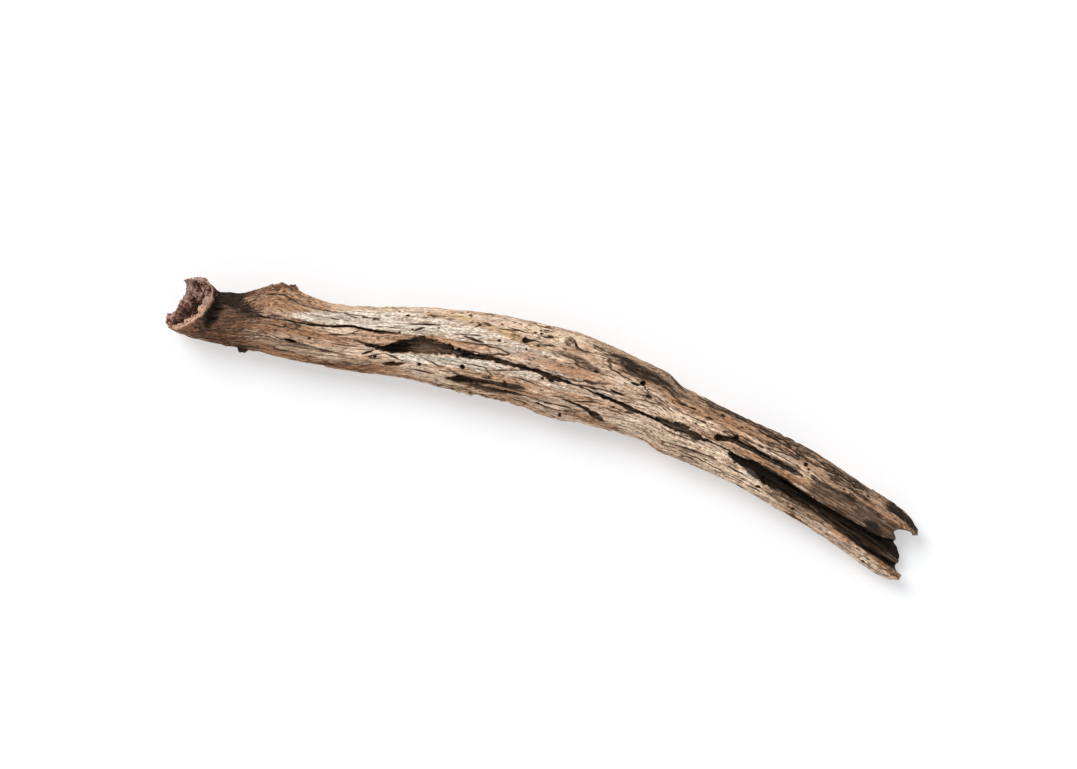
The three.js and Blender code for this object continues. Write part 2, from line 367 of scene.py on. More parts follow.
# Channels in the upper side: rows of x, middle line y, half width, depth. "dark" blackens the floor with
# painted shade together with the crack's own dark stain, "bank" is how wide the sloping edge is as a share of
# the half width.
channels = [
    {"name": "main check", "dark": 0.9, "bank": 0.5, "rows": [
        (-240, -16.4, 0.4, 0), (-230, -16, 0.45, 2), (-212, -12.6, 0.45, 2), (-202, -11, 0.6, 2.6),
        (-190, -9, 0.6, 3), (-172, -4, 0.8, 4), (-160, 0, 1.2, 6), (-150, 1, 0.8, 5), (-140, 2.6, 1.1, 5),
        (-128, 5.4, 0.7, 3), (-122, 6.6, 0.5, 0)]},
    {"name": "open pocket", "dark": 0.88, "bank": 0.35, "torn": 1.8, "paler": 0.32, "rows": [
        (-148, -10.2, 0.6, 0), (-143, -9.8, 1.1, 4), (-136, -9, 1.7, 6), (-130, -7, 2.6, 8),
        (-124, -4, 4.2, 9.5), (-118, -1.2, 5.4, 9.5), (-110, 2.6, 6.4, 8.5), (-102, 4.2, 6.0, 7.5),
        (-92, 5.9, 4.6, 6.5), (-80, 7.6, 2.9, 6.5), (-72, 7.8, 2.6, 8), (-66, 8.8, 2.2, 7),
        (-54, 10.8, 1.7, 6), (-40, 11.6, 1.6, 6), (-20, 13.1, 1.6, 6), (-4, 13.2, 1.9, 6),
        (4, 12.8, 1.2, 5), (10, 13, 0.6, 3), (27, 12.2, 0.6, 3), (35, 11.6, 1.1, 5), (50, 10.6, 1.4, 6),
        (65, 9.2, 1.2, 5.5), (76, 8.6, 1.1, 5), (84, 8.4, 1.9, 4), (92, 8, 2.9, 4), (102, 7.2, 3.5, 4.2),
        (110, 6, 2.9, 4), (117, 5.4, 1.8, 3), (124, 5.4, 0.8, 3), (132, 5.2, 0.7, 3.5), (142, 3, 0.9, 4),
        (146, 1.5, 0.8, 0)]},
    {"name": "trough", "dark": 0.95, "bank": 0.5, "torn": 0.5, "paler": 0.3, "rows": [
        (139, 2, 0.8, 0), (144, 1, 1.8, 6), (152, -0.8, 2.8, 9), (162, -1, 3.2, 10), (170, -4, 4.4, 12),
        (180, -6.5, 5.4, 13), (190, -8, 5.0, 14), (200, -11.5, 4.4, 14.5), (220, -16, 4.2, 16),
        (240, -21, 5.0, 17), (260, -26, 6.0, 18), (272, -28.6, 7.2, 18.5), (284, -30, 9.0, 18),
        (300, -32, 10.5, 16)]},
    {"name": "trough's deep side", "dark": 1.0, "bank": 0.8, "torn": 0.5, "rows": [
        (176, -3.6, 0.8, 0), (186, -4.2, 1.2, 16), (200, -7.6, 1.4, 19), (220, -12.2, 1.5, 21),
        (240, -16.8, 1.6, 22), (260, -20.6, 1.7, 22), (272, -22.4, 1.8, 22), (282, -21.5, 2.0, 20),
        (300, -22, 2.0, 17)]},
    {"name": "sunken slab", "dark": 0.3, "bank": 0.3, "rows": [
        (203, -1, 1.0, 0), (210, -2.6, 3.6, 2.5), (220, -4.2, 7.4, 3.5), (235, -7, 9.6, 4.2),
        (255, -11.4, 9.6, 4.8), (270, -15, 8.4, 5), (282, -16.5, 7.5, 5.5), (300, -18, 7, 6)]},
    {"name": "upper groove", "dark": 0.95, "bank": 0.6, "rows": [
        (125, 10.2, 0.8, 0), (128, 10.6, 2.2, 6), (132, 10.8, 2.0, 5), (140, 12.6, 2.0, 6),
        (148, 11.6, 1.9, 6), (160, 10, 1.7, 5.5), (175, 7.4, 1.9, 6), (190, 5.4, 2.1, 6.5),
        (197, 4.2, 1.2, 3), (200, 4, 0.6, 0)]},
    {"name": "light strip's lower side", "dark": 0.7, "bank": 0.7, "rows": [
        (204, 6, 1.0, 0), (208, 5.4, 2.0, 3.5), (214, 3.4, 1.8, 3), (222, 2, 1.4, 2), (236, 0.4, 1.0, 2),
        (250, -1.6, 0.8, 1.5), (266, -5, 0.8, 1.5), (280, -9, 0.8, 1.5), (290, -12, 0.8, 0)]},
    {"name": "lower pocket", "dark": 0.8, "bank": 0.5, "rows": [
        (-82, -14.6, 0.7, 0), (-78, -13.2, 1.8, 4), (-71, -11.4, 3.0, 6), (-62, -10, 2.6, 5),
        (-54, -7.8, 1.8, 4), (-46, -6, 1.4, 3), (-34, -4.6, 1.4, 2.6), (-24, -2.4, 1.0, 1.6),
        (-16, -1, 0.6, 0)]},
    {"name": "lower pocket's splinters", "dark": 0.8, "bank": 0.6, "rows": [
        (-66, -14.6, 0.6, 0), (-58, -12.6, 1.6, 4), (-50, -12, 1.3, 3), (-38, -10.6, 1.7, 4.5),
        (-30, -8.6, 1.0, 2.5), (-18, -7.4, 0.6, 0)]},
    {"name": "short slit", "dark": 0.95, "bank": 0.6, "rows": [
        (-131, -19.2, 0.5, 0), (-126, -17.6, 1.3, 3.5), (-120, -15.8, 1.3, 3.5), (-112, -12.6, 0.5, 0)]},
    {"name": "left streak", "dark": 0.45, "bank": 0.9, "rows": [
        (-224, -35, 1.0, 0), (-212, -30.5, 3.2, 1.2), (-200, -27.4, 2.6, 1.8), (-186, -25.6, 1.4, 1.6),
        (-168, -23.4, 0.9, 1.6), (-150, -20.6, 0.5, 0)]},
    {"name": "brown hollow", "dark": 0.3, "bank": 0.9, "rows": [
        (36, 41.5, 1.5, 0), (44, 39, 3.2, 3.2), (54, 37.6, 3.4, 3.6), (64, 36.4, 3.4, 3),
        (78, 34.4, 3.0, 2.4), (92, 32.6, 2.4, 1.8), (108, 29.6, 1.6, 1.2), (122, 27, 0.8, 0)]},
    {"name": "edge groove", "dark": 0.75, "bank": 0.7, "rows": [
        (12, 46.2, 0.6, 0), (22, 45.4, 1.1, 2), (34, 43.6, 1.2, 2.4), (52, 42.4, 1.2, 2.4),
        (66, 41.2, 1.1, 2), (80, 39.4, 0.6, 0)]},
    {"name": "brown streak", "dark": 0.5, "bank": 0.9, "rows": [
        (-10, 30.6, 0.8, 0), (0, 31.6, 1.6, 1.3), (12, 31.2, 1.9, 1.6), (22, 28.8, 1.6, 1.8),
        (30, 26.4, 0.7, 0)]},
    {"name": "slit below the check", "dark": 0.95, "bank": 0.6, "rows": [
        (5, -0.6, 0.4, 0), (12, -0.4, 0.8, 2.5), (22, -1, 1.0, 3), (28, -1.8, 1.2, 3), (33, -3.2, 2.0, 3.2),
        (40, -5.2, 2.0, 3), (45, -7, 0.8, 0)]},
    {"name": "small slit", "dark": 0.9, "bank": 0.6, "rows": [
        (-6, -7.4, 0.4, 0), (-1, -6.4, 0.8, 2), (5, -5.4, 0.4, 0)]},
    {"name": "small slit", "dark": 0.9, "bank": 0.6, "rows": [
        (-12, -9.4, 0.4, 0), (-8, -9.6, 1.1, 2.4), (-4, -10.2, 0.4, 0)]},
    {"name": "square pit's tail", "dark": 0.95, "bank": 0.6, "rows": [
        (-36, 33, 0.5, 0), (-34, 32.8, 2.0, 3.6), (-31, 33, 1.6, 3.4), (-28, 34, 0.9, 2.6),
        (-18, 34.4, 0.5, 0)]},
    {"name": "short check", "dark": 0.95, "bank": 0.6, "rows": [
        (38, 18.2, 0.4, 0), (42, 17.9, 0.7, 2.4), (48, 17.3, 0.6, 2.2), (52, 17, 0.4, 0)]},
    {"name": "knot's curved check", "dark": 0.9, "bank": 0.6, "rows": [
        (0, 44.6, 0.4, 0), (3, 43, 0.8, 2), (7, 40.2, 0.9, 2.2), (14, 38.2, 0.5, 0)]},
    {"name": "thin check", "dark": 0.85, "bank": 0.7, "rows": [
        (152, 25.4, 0.4, 0), (162, 23.9, 0.7, 1.8), (172, 22.4, 0.7, 1.8), (182, 20.6, 0.8, 2),
        (194, 17.4, 1.2, 2.4), (204, 14.4, 0.6, 1.6), (214, 13.6, 0.8, 1.6), (228, 10.6, 0.5, 0)]},
    {"name": "thin check", "dark": 0.85, "bank": 0.7, "rows": [
        (196, 22, 0.4, 0), (206, 19, 0.8, 2), (214, 15.6, 0.9, 2), (230, 12, 0.7, 1.8), (238, 10, 1.4, 2),
        (246, 7, 0.6, 0)]},
    {"name": "outer edge's dark groove", "dark": 0.8, "bank": 0.8, "rows": [
        (262, 3, 0.6, 0), (270, 1.6, 1.6, 2), (280, -0.6, 1.6, 2), (290, -5, 1.2, 1.6), (296, -8, 0.6, 0)]},
    {"name": "neck", "dark": 0.5, "bank": 1.3, "rows": [
        (-270, -18, 4, 0), (-267, -20, 11, 6.5), (-262, -20, 13, 8.5), (-256, -13, 9, 6.5),
        (-250, -11, 6, 4.5), (-240, -14, 5, 3), (-232, -16, 3, 0)]},
    {"name": "neck's hollow", "dark": 0.62, "bank": 0.9, "rows": [
        (-258, -14, 2, 0), (-250, -14.6, 3.4, 3), (-242, -15.8, 3.8, 3.4), (-234, -16.4, 2.6, 2.4),
        (-228, -16, 1, 0)]},
]

# round and oval holes in the upper side: x, y, half length, half width, depth
holes = [
    (-201, -25.2, 5.6, 1.7, 5), (-137, -15.8, 1.5, 1.1, 2.4), (-71.5, -2, 2.2, 2.0, 5),
    (-37, -3.5, 2.8, 2.2, 2.6), (-50, -2.6, 1.2, 1.0, 2), (-28, 41, 1.3, 0.8, 2), (-23, 42, 1.4, 0.9, 2),
    (-16, 41.6, 2.6, 1.0, 2.4), (-53.5, 37.8, 1.3, 0.9, 2), (-69, 31.5, 1.4, 0.9, 2),
    (-64, 34.6, 4.2, 0.8, 2), (-22.5, 31.4, 1.4, 1.0, 2), (-4.5, 10, 2.2, 1.5, 4),
    (10, -13.2, 1.4, 1.1, 2), (61.5, 30.6, 2.4, 2.0, 5), (56, 28.2, 3.6, 0.9, 2.4),
    (69, 23, 2.6, 1.7, 3.2), (25, 27.6, 2.2, 1.3, 2.6), (142, 15, 2.3, 2.6, 6),
    (129.5, 10.4, 2.4, 2.2, 6), (199, 13, 1.8, 1.5, 3), (191, 17, 2.0, 1.2, 2.4),
    (200.5, -22, 1.6, 1.2, 3), (267, -35, 1.6, 1.3, 2.4), (265, -43, 1.8, 0.8, 2),
    (170, -14.6, 2.6, 1.4, 3), (173, -8, 3.0, 3.4, 14), (-222.5, 6.6, 1.7, 1.4, 3),
    (-120, 0, 5.0, 2.6, 11), (-72, 7.8, 4.0, 2.0, 10), (27, 14.6, 4.2, 0.6, 1.8),
    (104, 24.6, 2.4, 0.9, 1.6), (127, 26.6, 2.2, 1.4, 2), (118, 22, 4.0, 0.7, 1.6),
    (96, 25.4, 3.0, 0.8, 1.4),
]

# low swellings of the upper side: x, y, half length, half width, height
swellings = [
    (-217, 4, 12, 9, 3.2), (-273.5, -22, 4, 17, 3.2), (158.5, -7.8, 8.5, 2.6, 1.6),
    (-50, -15.4, 11, 2.2, 1.2), (-254, -23.5, 5.5, 5.5, 2.4), (260, 4, 30, 3, 0.8),
    (250, -30, 34, 3.4, 1.4),
]

# Long checks on the sides and the underside: rows of x, degrees round the girth, half width, depth.
sideChecks = [
    [(-196, 203, 0.4, 0), (-170, 205, 0.9, 3), (-140, 200, 1.1, 4), (-105, 204, 0.8, 3),
     (-70, 200, 0.4, 0)],
    [(-28, 212, 0.4, 0), (0, 208, 0.8, 3), (34, 214, 1.2, 4), (66, 211, 0.8, 3), (98, 214, 0.4, 0)],
    [(128, 206, 0.4, 0), (150, 203, 0.8, 3), (190, 206, 1.0, 3.5), (232, 201, 0.7, 2.5),
     (262, 203, 0.4, 0)],
    [(-176, -14, 0.4, 0), (-150, -18, 0.9, 3), (-118, -15, 1.3, 4.5), (-80, -19, 0.9, 3),
     (-44, -16, 0.4, 0)],
    [(-20, -2, 0.4, 0), (14, -7, 0.9, 3), (52, -4, 1.4, 5), (92, -8, 1.0, 3.4), (126, -5, 0.4, 0)],
    [(118, -26, 0.4, 0), (150, -29, 1.0, 3.4), (186, -25, 1.2, 4), (220, -29, 0.4, 0)],
    [(-232, -38, 0.4, 0), (-205, -42, 0.9, 3), (-176, -39, 0.9, 3), (-150, -42, 0.4, 0)],
    [(-120, 262, 0.4, 0), (-84, 257, 1.2, 4), (-40, 260, 1.5, 5), (0, 256, 1.1, 4), (40, 259, 0.4, 0)],
    [(72, 276, 0.4, 0), (110, 281, 1.3, 4.5), (160, 277, 1.5, 5), (204, 281, 1.0, 3.5), (240, 278, 0.4, 0)],
    [(-250, 232, 0.4, 0), (-222, 236, 1.0, 3.5), (-190, 233, 1.0, 3), (-160, 236, 0.4, 0)],
    [(-60, 302, 0.4, 0), (-20, 306, 1.0, 3), (30, 303, 1.0, 3), (66, 306, 0.4, 0)],
]

# Knots, where a twig once grew: x, degrees round the girth, radius, how far it stands proud. The grain
# flows round them.
knots = [
    (-213.5, 6, 3.0, 3.0), (-222.5, 8, 3.4, 2.0), (-2, 44, 4.6, 1.4), (-66, 196, 5.2, 1.6),
    (138, 218, 6.0, 2.0), (-128, -32, 6.4, 2.2), (168, -8, 4.6, 1.4), (52, 262, 7.0, 2.2),
    (-236, 186, 3.0, 4.2), (-178, 262, 5.6, 1.8), (214, 236, 4.6, 1.4), (20, -34, 4.8, 1.6),
]


# The smooth skin: an ellipse between the four edges of the girth at x, boxier towards the broken end.
def skinPoint(angle, x):
    plusEdge, minusEdge, underside, crest = smoothRun(girthStations, x)
    boxy = 1 - driftwood["stumpSquareness"] * softStep(*driftwood["squareFrom"], x)
    across = np.sign(np.cos(angle)) * np.abs(np.cos(angle)) ** boxy
    y = (plusEdge + minusEdge) / 2 + (plusEdge - minusEdge) / 2 * across
    z = (crest + underside) / 2 + (crest - underside) / 2 * np.sin(angle)
    return np.stack([x, y, z], -1)


# The unit normals of a grid that closes on itself round its columns: the cross product of its two slopes.
def gridNormals(points):
    around = np.roll(points, -1, 1) - np.roll(points, 1, 1)
    along = np.gradient(points, axis=0)
    normal = np.cross(around, along)
    return normal / np.maximum(np.linalg.norm(normal, axis=-1, keepdims=True), 1e-9)


# the turn from one angle to another, between half a turn back and half a turn on
def turnFrom(start, angle):
    return np.angle(np.exp(1j * (angle - start)))


def betweenEnds(rows, x):
    return (x > rows[0][0]) & (x < rows[-1][0])


# How far the channels and holes lower the upper side, and how dark they leave it: painted shade in the
# hollows together with their own dark stain. A channel is a flat floor across its half width, with banks
# that rise over its "bank" share; a hole is a bowl.
def cutUpperSide(x, y, grain, upward):
    look = {"thinnest": 0.35, "tornShare": 0.45, "tornMost": 1.4, "stripedDepth": 0.35, "tone": 0.95,
            "stripedTone": 0.8, "paleFrom": (2.2, 4.6), "darkDepth": 2.5, "bowl": (0.55, 1.15),
            "bowlWander": 0.6, "bowlRagged": 0.25, "holeDark": 0.95}
    depth, dark = np.zeros_like(x), np.zeros_like(x)
    wander = layered(grain, "channelWander")
    ragged = layered(grain, "channelRagged")
    stripes = layered(grain, "channelStripes")
    for channel in channels:
        rows = channel["rows"]
        middle, half, deep = smoothRun(rows, x)
        half = np.maximum(half, look["thinnest"])
        torn = np.minimum(look["tornMost"], look["tornShare"] * half) * channel.get("torn", 1.0)
        half = half + ragged * torn
        across = np.abs(y + wander - middle) / half
        bank = softStep(1 - channel["bank"] / 2, 1 + channel["bank"] / 2, across)
        cut = betweenEnds(rows, x) * (1 - bank) * upward
        deep = np.maximum(deep, 0)
        depth = np.maximum(depth, cut * deep * (1 + look["stripedDepth"] * stripes))
        tone = channel["dark"] * (look["tone"] + look["stripedTone"] * stripes)
        tone = tone * (1 - channel.get("paler", 0) * softStep(*look["paleFrom"], half))
        dark = np.maximum(dark, cut * tone * np.clip(deep / look["darkDepth"], 0, 1))
    for holeX, holeY, halfLength, halfWidth, deep in holes:
        away = np.hypot((x - holeX) / halfLength, (y + look["bowlWander"] * wander - holeY) / halfWidth)
        cut = (1 - softStep(*look["bowl"], away + look["bowlRagged"] * ragged)) * upward
        depth = np.maximum(depth, cut * deep)
        dark = np.maximum(dark, look["holeDark"] * cut)
    return depth, dark


# The same for the long checks on the sides, measured in degrees round the girth.
def cutSides(x, angle, grain, depth, dark):
    look = {"thinnest": 0.35, "edge": (0.6, 1.4), "dark": 0.9, "darkDepth": 2}
    wander = layered(grain, "sideWander")
    for rows in sideChecks:
        middle, half, deep = smoothRun(rows, x)
        turn = turnFrom(np.radians(middle), angle)
        across = np.abs(turn * driftwood["grainRadius"] + wander) / np.maximum(half, look["thinnest"])
        cut = betweenEnds(rows, x) * (1 - softStep(*look["edge"], across))
        deep = np.maximum(deep, 0)
        np.maximum(depth, cut * deep, out=depth)
        np.maximum(dark, look["dark"] * cut * np.clip(deep / look["darkDepth"], 0, 1), out=dark)


# A knot is a low collar with a sunken, cracked heart: a flat-topped bell less a small bell. It also draws
# the grain's angle together, so that the lines of the grain bend round it.
def growKnots(x, angle):
    look = {"collar": 1.15, "sunk": 0.75, "sunkSize": 0.5, "heart": 0.75, "bend": 0.6, "bendLong": 2.6,
            "bendWide": 1.5}
    height, heart, bend = np.zeros_like(x), np.zeros_like(x), np.zeros_like(x)
    for knotX, degrees, radius, proud in knots:
        turn = turnFrom(math.radians(degrees), angle)
        shift, aside = (x - knotX) / radius, turn * driftwood["grainRadius"] / radius
        away = np.hypot(shift, aside)
        sunk = look["sunk"] * np.exp(-(away / look["sunkSize"]) ** 2)
        height += proud * (np.exp(-(away / look["collar"]) ** 4) - sunk)
        heart = np.maximum(heart, np.exp(-(away / look["heart"]) ** 4))
        reach = np.hypot(shift / look["bendLong"], aside / look["bendWide"])
        bend -= look["bend"] * turn * np.exp(-reach ** 2)
    return height, heart, bend


# Each swelling is a bell over the plan.
def swellUpperSide(x, y, upward):
    height = np.zeros_like(x)
    for swellX, swellY, halfLength, halfWidth, rise in swellings:
        away = np.hypot((x - swellX) / halfLength, (y - swellY) / halfWidth)
        height += rise * np.exp(-away ** 2) * upward
    return height


# the rings that come within reach of a place along x
def ringsNear(x, placeX, reach):
    near = np.abs(x[:, 0] - placeX) < reach + driftwood["slant"]
    return slice(np.argmax(near), len(near) - np.argmax(near[::-1]))


# Short checks and worm holes strewn all round the wood by a seeded draw, laid on the straight cylinder
# of the grain: a check is a long thin pinch with pointed ends, a worm hole a small round bowl.
# each check and worm hole also darkens its place: painted shade in the hollow together with its dark stain
def strewChecks(x, angle, depth, dark):
    look = {"seed": 11, "radius": driftwood["grainRadius"], "checks": 260, "checkX": (-262, 285),
            "shortest": 3, "longest": 34, "thinnest": 0.35, "widest": 1.0, "shallowest": 0.7, "deepest": 2.6,
            "deepPower": 1.5, "lean": 0.05, "tip": 0.3, "checkDark": 0.85, "wormHoles": 110,
            "wormX": (-262, 288), "wormSize": (0.5, 1.4), "wormReach": 3, "wormLong": 1.3,
            "wormBowl": (0.5, 1.2), "wormDepth": 1.8, "wormDark": 0.8}
    draw = np.random.default_rng(look["seed"])
    for _ in range(look["checks"]):
        placeX, placeAngle = draw.uniform(*look["checkX"]), draw.uniform(0, fullTurn)
        halfLength = look["shortest"] + look["longest"] / 2 * draw.random() ** 2
        halfWidth = look["thinnest"] + (look["widest"] - look["thinnest"]) * draw.random() ** 2
        deep = (look["deepest"] - look["shallowest"]) * draw.random() ** look["deepPower"]
        deep = look["shallowest"] + deep
        rows = ringsNear(x, placeX, halfLength)
        shift = (x[rows] - placeX) / halfLength
        turn = turnFrom(placeAngle + draw.normal(0, look["lean"]) * shift, angle[rows])
        pinch = np.clip(1 - shift ** 2, 0, 1)
        thin = halfWidth * (look["tip"] + (1 - look["tip"]) * pinch)
        cut = np.sqrt(pinch) * np.exp(-(turn * look["radius"] / thin) ** 2)
        depth[rows] = np.maximum(depth[rows], cut * deep)
        dark[rows] = np.maximum(dark[rows], cut * look["checkDark"])
    for _ in range(look["wormHoles"]):
        placeX, placeAngle = draw.uniform(*look["wormX"]), draw.uniform(0, fullTurn)
        size = draw.uniform(*look["wormSize"])
        rows = ringsNear(x, placeX, size * look["wormReach"])
        turn = turnFrom(placeAngle, angle[rows])
        away = np.hypot((x[rows] - placeX) / (look["wormLong"] * size), turn * look["radius"] / size)
        cut = 1 - softStep(*look["wormBowl"], away)
        depth[rows] = np.maximum(depth[rows], cut * size * look["wormDepth"])
        dark[rows] = np.maximum(dark[rows], cut * look["wormDark"])


